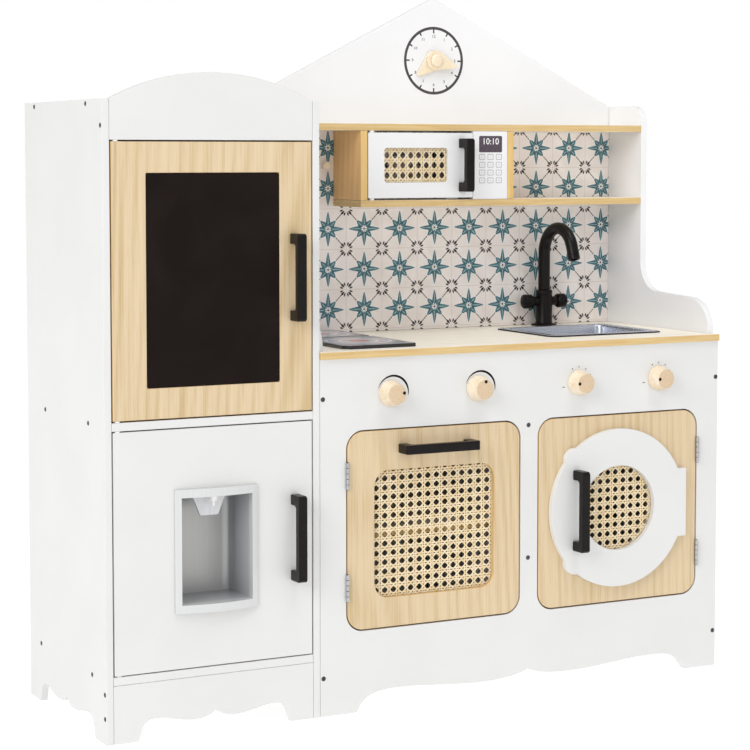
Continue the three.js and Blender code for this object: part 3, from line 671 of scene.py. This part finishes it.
def build_sink():
    """A pressed basin with a rolled rim, and a black band under the rim that is painted shadow: it
    draws the dark line round the basin.
    """
    box = Box("sink_basin")
    x, y = box.centre.x, box.centre.y
    half_x, half_y = box.size.x / 2 / MM, box.size.y / 2 / MM
    top = box.size.z / MM
    floor, corner = 2, 14

    def ring(inset, height, radius):
        outline = centred(x, y, half_x - inset, half_y - inset, radius, 10)
        return [(u, v, box.bottom + height * MM) for u, v in outline]

    sizes = [(76, floor - 0.6, 2), (26, floor, 8),
             *((21.5 - 7 * v, floor + 7 * (1 - u), 12) for u, v in arc(0, 0, 1, 0, 90, 6)),
             (14.2, top - 3.2, 12), (13.8, top - 1.4, 12.2), (13.0, top - 0.4, 12.6),
             (11.8, top, 13), (1.2, top, corner), (0.4, top - 0.4, corner),
             (0, top - 1.1, corner), (0, top - 2, corner), (11.9, top - 2.1, corner),
             (12.1, top - 4, corner), (12.6, 6, corner), (15, 1.6, corner), (19, 0, 13),
             (76, 0, 2)]
    piece("sink_basin_pressed", Shape().skin([ring(*size) for size in sizes]), SINK, ROOT,
          ["sink_basin"])

    # Painted shadow: a black band at the foot of the rim, where the shade under the rim shows as a
    # dark line.
    level = Box("worktop").top
    height = 2 * MM
    outer, inner = (centred(x, y, half_x + gap, half_y + gap, corner + gap, 10)
                    for gap in (1.1, 0.1))
    band = [[(*far, level), (*far, level + 0.6 * height), (*near, level + height), (*near, level)]
            for far, near in zip(outer, inner)]
    piece("sink_rim_painted_shadow", Shape().skin(band, around=True), BLACK_INK, ROOT)


build_sink()


# ---- Woven cane ----

STRAND_WIDTH = 1.8 * MM
STRAND_THICKNESS = 0.32 * MM
DIAGONAL_WIDTH = 1.9 * MM
PAIR_OFFSET = 1.55 * MM
LIFT = 0.2 * MM                 # how far a strand rises over the one it crosses
LAYER = 0.5 * MM                # distance of the diagonals from the middle of the weave
CANE_INSET = 1.3 * MM           # from the edge of a panel to the ends of the strands


def inside_span(outline, point, direction):
    """Where a line enters and leaves a convex outline, or None."""
    low, high = -1e9, 1e9
    for i, (x0, z0) in enumerate(outline):
        x1, z1 = outline[(i + 1) % len(outline)]
        nx, nz = z0 - z1, x1 - x0
        rate = nx * direction[0] + nz * direction[1]
        room = nx * (point[0] - x0) + nz * (point[1] - z0)
        if abs(rate) < 1e-12:
            if room < 0:
                return None
        elif rate > 0:
            low = max(low, -room / rate)
        else:
            high = min(high, -room / rate)
    return (low, high) if high - low > 2 * MM else None


def strand(shape, start, direction, steps, width, depth):
    """Adds a domed ribbon. steps are pairs of distance along it and offset in y."""
    across = (-direction[1], direction[0])
    section = [(-0.5, 0.5), (0.5, 0.5), (0.5, -0.1), (0.25, -0.45), (-0.25, -0.45), (-0.5, -0.1)]
    rings = []
    for distance, lift in steps:
        x = start[0] + direction[0] * distance
        z = start[1] + direction[1] * distance
        rings.append([(x + across[0] * u * width, depth + lift + v * STRAND_THICKNESS,
                       z + across[1] * u * width) for u, v in section])
    shape.skin(rings)


def weave(node, outline, body, pitches, hole):
    """A cane panel in the six-way pattern. hole is the centre of one of its holes, in pitches
    from the middle of the panel."""
    box = Box(node)
    middle = (box.centre.x + hole[0] * pitches[0], box.centre.z + hole[1] * pitches[1])
    depth = (box.front + box.back) / 2
    shape = Shape()
    reach = max(box.size.x, box.size.z)
    count = int(reach / min(pitches) / 2) + 2
    for axis in (0, 1):
        direction = (axis, 1 - axis)
        other = 1 - axis
        for i in range(-count, count):
            for j, side in enumerate((-1, 1)):
                start = list(middle)
                start[axis] += (i + 0.5) * pitches[axis] + side * PAIR_OFFSET
                span = inside_span(outline, start, direction)
                if not span:
                    continue
                steps = [(span[0], 0)]
                for k in range(-count, count):
                    for m, shift in enumerate((-1, 1)):
                        crossing = (k + 0.5) * pitches[other] + shift * PAIR_OFFSET
                        over = LIFT if (j + m + axis) % 2 else -LIFT
                        for edge in (-0.8 * MM, 0.8 * MM):
                            if span[0] + 0.1 * MM < crossing + edge < span[1] - 0.1 * MM:
                                steps.append((crossing + edge, over))
                steps.append((span[1], 0))
                strand(shape, start, direction, steps, STRAND_WIDTH, depth)
    for turn, layer in ((1, -LAYER), (-1, LAYER)):
        slope = Vector((pitches[0], turn * pitches[1])).normalized()
        for i in range(-2 * count, 2 * count):
            start = (middle[0] + (i + 0.5) * pitches[0], middle[1])
            span = inside_span(outline, start, slope)
            if span:
                steps = [(span[0] + (span[1] - span[0]) * k / 24, 0) for k in range(25)]
                strand(shape, start, slope, steps, DIAGONAL_WIDTH, depth + layer)
    piece(node + "_woven", shape, CANE, body, [node], sharp=50)


def batten(node, body, corner):
    """The thin ring that holds the cane in its rebate."""
    box = Box(node)
    back = Box(body.removesuffix("_body")).back - 0.3 * MM
    rings = (box.rim(inset, corner, 10) for inset in (5 * MM, 0))
    piece(node + "_batten", Shape().strip(*rings, box.back + 0.1 * MM, back), BEECH, body,
          edge=0.4 * MM)


for stem, corner, pitches, hole in (("oven", 27.7 * MM, (13.6 * MM, 13.0 * MM), (0.42, -0.11)),
                                    ("microwave", 10.7 * MM, (13.2 * MM, 14.8 * MM), (0.5, 0))):
    node, body = stem + "_cane_panel", stem + "_door_body"
    weave(node, Box(node).rim(CANE_INSET, corner), body, pitches, hole)
    batten(node, body, corner)
porthole = Box("washer_cane_panel")
radius = porthole.size.x / 2
weave("washer_cane_panel",
      circle(porthole.centre.x, porthole.centre.z, radius - CANE_INSET, 48),
      "washer_door_body", (13.3 * MM, 12.9 * MM), (0, 0))
batten("washer_cane_panel", "washer_door_body", radius)


# ---- Hinges, pivots and catches ----

def build_hinge(node, door_body, side):
    """A butt hinge: three knuckles and a leaf on the frame, two and a leaf on the door.
    side is -1 where the frame's leaf lies to the left of the pin."""
    box = Box(node)
    radius, gap, tall = 2.6, 0.4, box.size.z / MM
    y = box.front + radius * MM
    x = box.right - radius * MM if side < 0 else box.left + radius * MM
    share = tall / 5
    long = share - 2 * gap
    knuckle = [(0, 0), (radius - 0.3, 0), (radius, 0.3), (radius, long - 0.3),
               (radius - 0.3, long), (0, long)]
    for part, body, numbers, sign in (("frame_leaf", ROOT, (0, 2, 4), side),
                                      ("door_leaf", door_body, (1, 3), -side)):
        shape = Shape()
        for number in numbers:
            low = box.bottom + (number * share + gap) * MM
            shape.join(turned(knuckle, (x, y, low), "Z", 28))
        left, right = sorted((x + sign * 0.08 * MM, x + sign * 0.62 * MM))
        shape.block((left, y + 0.6 * MM, box.bottom), (right, box.back, box.top))
        piece(f"{node}_{part}", shape, STEEL, body,
              [node] if part == "frame_leaf" else ())
    pin = [(0, -0.7), (1.1, -0.4), (1.1, tall + 0.4), (0, tall + 0.7)]
    piece(node + "_pin", turned(pin, (x, y, box.bottom), "Z", 20), SCREW, ROOT)


for stem, side in (("oven", -1), ("washer", 1)):
    for level in ("lower", "upper"):
        build_hinge(f"{stem}_hinge_{level}", stem + "_door_body", side)


def washer(name, joint, low, high):
    """A plastic washer on a pivot pin, in the gap beside a door."""
    place = joint_place(joint)
    rings = (circle(place.x, place.y, radius * MM, 40) for radius in (1.2, 3.8))
    band = [[(*inner, low), (*outer, low), (*outer, high), (*inner, high)]
            for inner, outer in zip(*rings)]
    piece(name, Shape().skin(band, around=True), PLASTIC, ROOT)


for stem, below, above in (("fridge_door", "fridge_bottom_shelf", "fridge_middle_shelf"),
                           ("freezer_door", "fridge_middle_shelf", "fridge_arch_fascia"),
                           ("microwave_door", "lower_shelf", "top_shelf")):
    door = Box(stem)
    margin = 0.15 * MM
    washer(stem + "_washer_low", stem + "_hinge", Box(below).top + margin, door.bottom - margin)
    washer(stem + "_washer_high", stem + "_hinge", door.top + margin, Box(above).bottom - margin)


def catch(stem, casing_x, casing_z, depth, plate_x, plate_z):
    """A magnetic catch on the carcass and the strike plate on the back of its door."""
    back = Box(stem).back
    front = back + 1.2 * MM
    (x0, x1), (z0, z1) = casing_x, casing_z
    casing = Shape().block((x0, front + 1.2 * MM, z0), (x1, front + depth, z1))
    inset = 0.22 * (x1 - x0)
    poles = Shape()
    for share in (0.3, 0.7):
        z = z0 + share * (z1 - z0)
        poles.block((x0 + inset, front, z - 0.8 * MM), (x1 - inset, front + 1.1 * MM, z + 0.8 * MM))
    piece(stem + "_catch_casing", casing, PLASTIC, ROOT, edge=0.8 * MM)
    piece(stem + "_catch_poles", poles, STEEL, ROOT, edge=0.2 * MM)
    (x0, x1), (z0, z1) = plate_x, plate_z
    far = back + 0.75 * MM
    plate = Shape().prism(rounded(x0, z0, x1, z1, 2 * MM), back + 0.05 * MM, far)
    boss = turned([(0, 0), (2.2, 0), (1.6, 0.5), (0, 0.6)], ((x0 + x1) / 2, far, (z0 + z1) / 2),
                  steps=24)
    piece(stem + "_catch_strike", plate.join(boss), STEEL, stem + "_body")


def shelf_catch(stem, level, rise, depth, width):
    """A catch that rises from a shelf or hangs under it, near the free edge of a door."""
    door = Box(stem)
    right = door.right - 18 * MM
    low, high = sorted((level, level + rise))
    inset = 2 * MM
    catch(stem, (right - width, right), (low, high), depth, (right - width + inset, right - inset),
          (max(low, door.bottom) + inset, min(high, door.top) - inset))


middle_shelf = Box("fridge_middle_shelf")
shelf_catch("fridge_door", middle_shelf.bottom - 0.1 * MM, -16 * MM, 18 * MM, 40 * MM)
shelf_catch("freezer_door", middle_shelf.top + 0.1 * MM, 16 * MM, 18 * MM, 40 * MM)
shelf_catch("microwave_door", Box("lower_shelf").top + 0.1 * MM, 13 * MM, 12 * MM, 22 * MM)

divider = Box("kitchen_centre_divider")
for stem, edge, wall, sign in (("oven_door", Box("oven_door").right, divider.left, MM),
                               ("washer_door", Box("washer_door").left, divider.right, -MM)):
    catch(stem, sorted((edge - sign * 14, wall - sign * 0.1)), (300 * MM, 332 * MM), 16.8 * MM,
          sorted((edge - sign * 12, edge - sign * 2)), (304 * MM, 328 * MM))


# ---- Dispenser ----

NOZZLE = [(0, 0), (1.2, 0), (1.8, 0.6), (1.8, 7.2), (2.2, 7.8), (4.8, 8.0), (5.7, 8.5),
          (6.0, 9.4), (6.0, 14.6), (5.4, 15.2), (5.4, 16.0), (0, 16.0)]
piece("dispenser_nozzle_moulded", turned(NOZZLE, Box("dispenser_nozzle").foot, "Z", 40), PLASTIC,
      "fridge_door_body", ["dispenser_nozzle"])


# ---- Screws ----

def screw_head():
    """A domed head with a cross recess, facing -Y, with its seat at y = 0."""
    dome = turned([(0, -0.95), (1.3, -0.9), (2.4, -0.65), (3.1, -0.3), (3.4, 0), (3.4, 0.2),
                   (0, 0.2)], (0, 0, 0), steps=24)
    half, reach = 0.45 * MM, 2.1 * MM
    slots = [Shape().block((-u, -1 * MM, -v), (u, -0.15 * MM, v))
             for u, v in ((reach, half), (half, reach))]
    return combined("screw_head", dome, removed=slots)


SCREW_HEAD = screw_head()


def screws(name, places, facing, body=ROOT):
    """Screw heads at points on a face that looks along facing."""
    turn = Vector((0, -1, 0)).rotation_difference(Vector(facing)).to_matrix().to_4x4()
    shape = Shape()
    for i, place in enumerate(places):
        spin = Matrix.Rotation(math.radians(37 * i), 4, "Y")
        move = Matrix.Translation(place) @ turn @ spin
        shape.add([move @ vertex.co for vertex in SCREW_HEAD.vertices],
                  [polygon.vertices for polygon in SCREW_HEAD.polygons])
    piece(name, shape, SCREW, body)


panel = Box("kitchen_front_panel")
middle = Box("kitchen_centre_divider").centre.x
screws("kitchen_front_screws",
       [(x, panel.front, z * MM) for x, z in
        ((panel.left + 4.2 * MM, 436.5), (panel.right - 3.8 * MM, 436.5),
         (panel.left + 4.7 * MM, 53), (panel.right - 4.6 * MM, 53), (middle, 383),
         (middle, 192))], (0, -1, 0))

# Each shelf of the fridge is screwed through its side, and so are its front boards.
side = Box("fridge_side_left")
shelf_rows = {"fridge_top_panel": (60, 266), "fridge_middle_shelf": (60, 232),
              "fridge_bottom_shelf": (53, 259)}
places = [(side.left, side.front + y * MM, Box(shelf).centre.z)
          for shelf, row in shelf_rows.items() for y in row]
places += [(side.left, side.front + 5.5 * MM, z * MM) for z in (34, 66, 805)]
screws("left_side_screws", places, (-1, 0, 0))
face = Box("kitchen_side_right").right
shelf = Box("kitchen_bottom_shelf").centre.z / MM
screws("right_side_screws",
       [(face, side.front + y * MM, z * MM) for y, z in
        ((60, shelf), (250, shelf), (285.5, 540), (285.5, 690), (285.5, 807))], (1, 0, 0))

back = Box("kitchen_back_panel").back
for unit, columns, heights in (("fridge", 2, (84, 250, 416, 620, 833)),
                               ("kitchen", 4, (89, 290, 484))):
    panel = Box(unit + "_back_panel")
    places = [(panel.left + 8 * MM + (panel.size.x - 16 * MM) * i / (columns - 1), back, z * MM)
              for i in range(columns) for z in heights]
    screws(unit + "_back_screws", places, (0, 1, 0))


# ---- Prints on the front, and painted shadows round the hob knobs ----

INK = 0.1 * MM
BEDDED = 0.02 * MM              # how far ink reaches into the surface under it


def crescent(centre, radius, start, end, thickness, peak):
    """Inner and outer outlines of an arc that is thickest at peak and tapers to its ends."""
    inner, outer = [], []
    for i in range(49):
        angle = start + (end - start) * i / 48
        span = peak - start if angle < peak else end - peak
        share = math.cos(math.pi / 2 * (angle - peak) / span) ** 0.8
        half = max(thickness * share, 0.16) / 2
        inner.append(polar(centre, radius - half, angle))
        outer.append(polar(centre, radius + half, angle))
    return inner, outer


surface = Box("kitchen_front_panel").front
layer = surface - INK, surface + BEDDED
# The dark crescent beside each hob knob is painted shadow: black ink laid where shade falls in the
# gap round the knob, off centre to one side.
for node in ("hob_knob_left", "hob_knob_right"):
    place = Box(node).centre + Vector((4.2 * MM, 0, 0))
    piece(node + "_scale_and_shadow", Shape().strip(*crescent(place, 24, -12, 165, 3.1, 50), *layer, False),
          BLACK_INK, ROOT)
for node in ("oven_knob", "washer_knob"):
    place = Box(node).centre
    marks = Shape()
    for angle in (118, 88, 57, 27):
        marks.prism(circle(*polar(place, 22.5, angle), 0.95 * MM, 20), *layer)
    marks.prism(centred(*polar(place, 26, 193), 2.2, 0.55, 0.5, 4), *layer)
    piece(node + "_scale_and_shadow", marks, DARK_INK, ROOT)


# ---- Clock face ----

def lettering(text, size, centre, front, thickness):
    """Upright characters facing -Y, centred on a point in X and Z, as one mesh."""
    curve = put(bpy.data.curves.new("lettering", "FONT"), body=text, size=size, align_x="CENTER",
                align_y="CENTER", extrude=thickness / 2, resolution_u=4, offset=0.004 * size)
    thing = new_object("lettering", curve)
    depsgraph = bpy.context.evaluated_depsgraph_get()
    mesh = bpy.data.meshes.new_from_object(thing.evaluated_get(depsgraph))
    bpy.data.objects.remove(thing)
    points = [(centre[0] + v.co.x, front + thickness / 2 - v.co.z, centre[1] + v.co.y)
              for v in mesh.vertices]
    return Shape().add(points, [polygon.vertices for polygon in mesh.polygons])


def build_clock_face():
    centre = Box("clock_post").centre
    surface = Box("tiled_gable_wall").front
    layer = surface - INK, surface + BEDDED
    marks = Shape()
    outline = [circle(centre.x, centre.z, radius * MM, 96) for radius in (47.2, 51.4)]
    marks.strip(*outline, *layer)
    outer, half = 47.9, 1.15
    for hour in range(1, 13):
        angle = 90 - 30 * hour
        inner = outer - (6.4 if hour % 3 == 0 else 5.2)
        tick = swung([(inner, -half), (outer, -half), (outer, half), (inner, half)], angle)
        marks.prism([(centre.x + u * MM, centre.z + v * MM) for u, v in tick], *layer)
        marks.join(lettering(str(hour), 6.4 * MM, polar(centre, 36.6, angle), layer[0], INK))
    piece("clock_face_print", marks, DARK_INK, ROOT)


build_clock_face()


# ---- Microwave panel ----

def build_microwave_panel():
    panel = Box("microwave_control_panel")
    layer = panel.front - INK, panel.front + BEDDED
    left, middle, right = (panel.left + x * MM for x in (10, 30, 50))
    low, high = panel.top - 31.5 * MM, panel.top - 6.9 * MM
    screen = rounded(left, low, right, high, 2.2 * MM, 6)
    piece("microwave_screen", Shape().prism(screen, *layer), SCREEN_INK, ROOT)
    digits = lettering("10:10", 13.2 * MM, (middle, high - 8.6 * MM), layer[0] - 0.05 * MM,
                       0.07 * MM)
    piece("microwave_digits", digits, WHITE_INK, ROOT)
    keys = Shape()
    for column in (-1, 0, 1):
        for row in range(4):
            x = middle + 14.5 * MM * column
            z = low - (6.9 + 11.7 * row) * MM
            keys.strip(*(centred(x, z, 5.2 - inset, 4.3 - inset, 1.2 - inset, 3)
                         for inset in (1.1, 0)), *layer)
            keys.prism(centred(x, z, 1.6, 0.4, 0.35, 3), *layer)
    piece("microwave_keys", keys, GREY_INK, ROOT)


build_microwave_panel()


# ---- Printed tiles ----

TILE = 60.7 * MM
TILE_AT = (Box("tiled_gable_wall").left + 19.0 * MM, Box("worktop").top + 34.4 * MM)
SHEET = 0.1 * MM


def clipped(outline, left, low, right, high):
    """The part of a convex outline that lies in a rectangle."""
    for axis, limit, keep in ((0, left, 1), (0, right, -1), (1, low, 1), (1, high, -1)):
        kept = []
        for i, here in enumerate(outline):
            before = outline[i - 1]
            here_in = keep * (here[axis] - limit) >= 0
            if here_in != (keep * (before[axis] - limit) >= 0):
                share = (limit - before[axis]) / (here[axis] - before[axis])
                kept.append(tuple(b + share * (h - b) for b, h in zip(before, here)))
            if here_in:
                kept.append(here)
        outline = kept
        if len(outline) < 3:
            return None
    return outline


def petal(start, widest, end, half, angle):
    """A pointed leaf from start to end along an angle, widest in between, about (0, 0)."""
    side = [(start + (widest - start) * share, half * math.sin(math.pi / 2 * share))
            for share in (i / 4 for i in range(1, 5))]
    side += [(widest + (end - widest) * share, half * (1 - share) ** 0.8 * (1 + 0.25 * share))
             for share in (i / 6 for i in range(1, 6))]
    return swung([(start, 0)] + [(u, -v) for u, v in side] + [(end, 0)] + side[::-1], angle)


def build_tiles():
    wall = Box("tiled_gable_wall")
    left, right = wall.left + 0.2 * MM, wall.right - 0.2 * MM
    low, high = Box("worktop").top + 0.5 * MM, Box("top_shelf").bottom - 0.6 * MM
    front = wall.front - SHEET
    sheet = Shape().prism([(left, low), (right, low), (right, high), (left, high)],
                          front, wall.front - 0.02 * MM)
    corner = (TILE_AT[0] + TILE / 2, TILE_AT[1] + TILE / 2)
    piece("tile_print_sheet", sheet, tile_sheet_look(corner, TILE), ROOT)

    inks = {"white": (WHITE_INK, 1), "teal": (TEAL_INK, 2), "pale_teal": (PALE_INK, 3),
            "brown": (BROWN_INK, 2)}
    prints = {name: Shape() for name in inks}

    def stamp(name, outline, at):
        moved = [(at[0] + u * MM, at[1] + v * MM) for u, v in outline]
        kept = clipped(moved, left + 0.1 * MM, low + 0.1 * MM, right - 0.1 * MM, high - 0.1 * MM)
        if kept:
            prints[name].prism(kept, front - 0.03 * MM * inks[name][1], front + BEDDED)

    star = []
    for i in range(8):
        angle = 45 * i
        start, widest, end, half = (3.4, 9.8, 26.6, 3.8) if i % 2 == 0 else (3.4, 11.0, 18.0, 3.7)
        star.append(("white", petal(start - 1.4, widest, end + 1.2, half + 0.9, angle)))
        star.append(("teal", petal(start, widest, end, half, angle)))
        star.append(("pale_teal", petal(start + 1.6, widest, end - 2.5, half * 0.16, angle)))
    star.append(("white", circle(0, 0, 3.0, 16)))
    star.append(("brown", circle(0, 0, 1.5, 12)))
    dash = [(-1.9, -0.65), (1.9, -0.65), (1.9, 0.65), (-1.9, 0.65)]
    for i in range(4):
        angle = 45 + 90 * i
        for reach in (20.6, 24.9, 29.2):
            star.append(("brown", swung([(u + reach, v) for u, v in dash], angle)))
    flower = []
    for i in range(4):
        angle = 45 + 90 * i
        flower.append(("brown", petal(4.2, 9.4, 12.4, 2.0, angle)))
        for lean in (-26, 26):
            flower.append(("brown", petal(5.0, 8.8, 11.6, 1.35, angle + lean)))

    for column in range(-1, 11):
        for row in range(-1, 6):
            at = (TILE_AT[0] + column * TILE, TILE_AT[1] + row * TILE)
            for name, outline in star:
                stamp(name, outline, at)
            for name, outline in flower:
                stamp(name, outline, (at[0] + TILE / 2, at[1] + TILE / 2))
    for name, (ink, _) in inks.items():
        piece("tile_print_" + name, prints[name], ink, ROOT)


build_tiles()


# ---- Studio ----

SKY_LEVEL = 0.54


def lamp(name, bearing, rise, size, level, tint=(1.0, 1.0, 1.0), distance=9.0):
    """A round soft light that looks at the middle of the object. bearing is in degrees from
    straight in front towards +X, and level is its light on a face turned to it, where 1 is
    that of a white sky."""
    light = put(bpy.data.lights.new(name, "AREA"), shape="DISK", size=size, color=tint,
                energy=level * (math.pi * distance) ** 2)
    across, up = math.radians(bearing), math.radians(rise)
    away = Vector((math.sin(across) * math.cos(up), -math.cos(across) * math.cos(up), math.sin(up)))
    put(new_object(name, light), location=Vector((0, 0, 0.5)) + away * distance,
        rotation_euler=(-away).to_track_quat("-Z", "Y").to_euler())


def build_sky():
    """An even white sky that lights the object less strongly than it shows behind it."""
    scene.world = bpy.data.worlds.new("studio_sky")
    scene.world.use_nodes = True
    tree = scene.world.node_tree
    sky = tree.nodes["Background"]
    sky.inputs["Color"].default_value = (1.0, 1.0, 1.0, 1.0)
    strength = put(tree.nodes.new("ShaderNodeMath"), operation="MULTIPLY_ADD")
    strength.inputs[1].default_value = 1.0 - SKY_LEVEL
    strength.inputs[2].default_value = SKY_LEVEL
    seen = tree.nodes.new("ShaderNodeLightPath").outputs["Is Camera Ray"]
    tree.links.new(seen, strength.inputs[0])
    tree.links.new(strength.outputs["Value"], sky.inputs["Strength"])


def build_floor():
    """A pale floor with a little light of its own, so that shadows on it stay faint."""
    look = Look("studio_floor", 0.9)
    look.colour(look.ramp(look.noise(3, 2), (0.3, (0.46, 0.46, 0.46, 1)),
                          (0.7, (0.48, 0.48, 0.48, 1))))
    look.shader.inputs["Emission Color"].default_value = (1.0, 1.0, 1.0, 1.0)
    look.shader.inputs["Emission Strength"].default_value = 0.72
    floor = Shape().skin([[(x, y, z) for x, y in circle(0, 0, 80, 96)] for z in (-0.02, 0)])
    mesh = floor.mesh("studio_floor")
    mesh.materials.append(look.material)
    new_object("studio_floor", mesh)


def build_camera():
    camera = put(bpy.data.cameras.new("camera"), sensor_width=36, lens=103.19, shift_y=-0.1,
                 clip_end=200)
    scene.camera = put(new_object("camera", camera), location=(-1.4478, -2.7353, 0.7671),
                       rotation_euler=(math.radians(90 - 3.86), 0, math.radians(-27.54)))


build_floor()
build_sky()
lamp("key", -62, 26, 5.5, 0.44, (1.0, 0.995, 0.985))
lamp("front", 6, 16, 5.0, 0.035, (0.98, 0.99, 1.0))
lamp("top", 8, 68, 5.0, 0.32)
scene.view_settings.view_transform = "Standard"
scene.view_settings.look = "None"
build_camera()
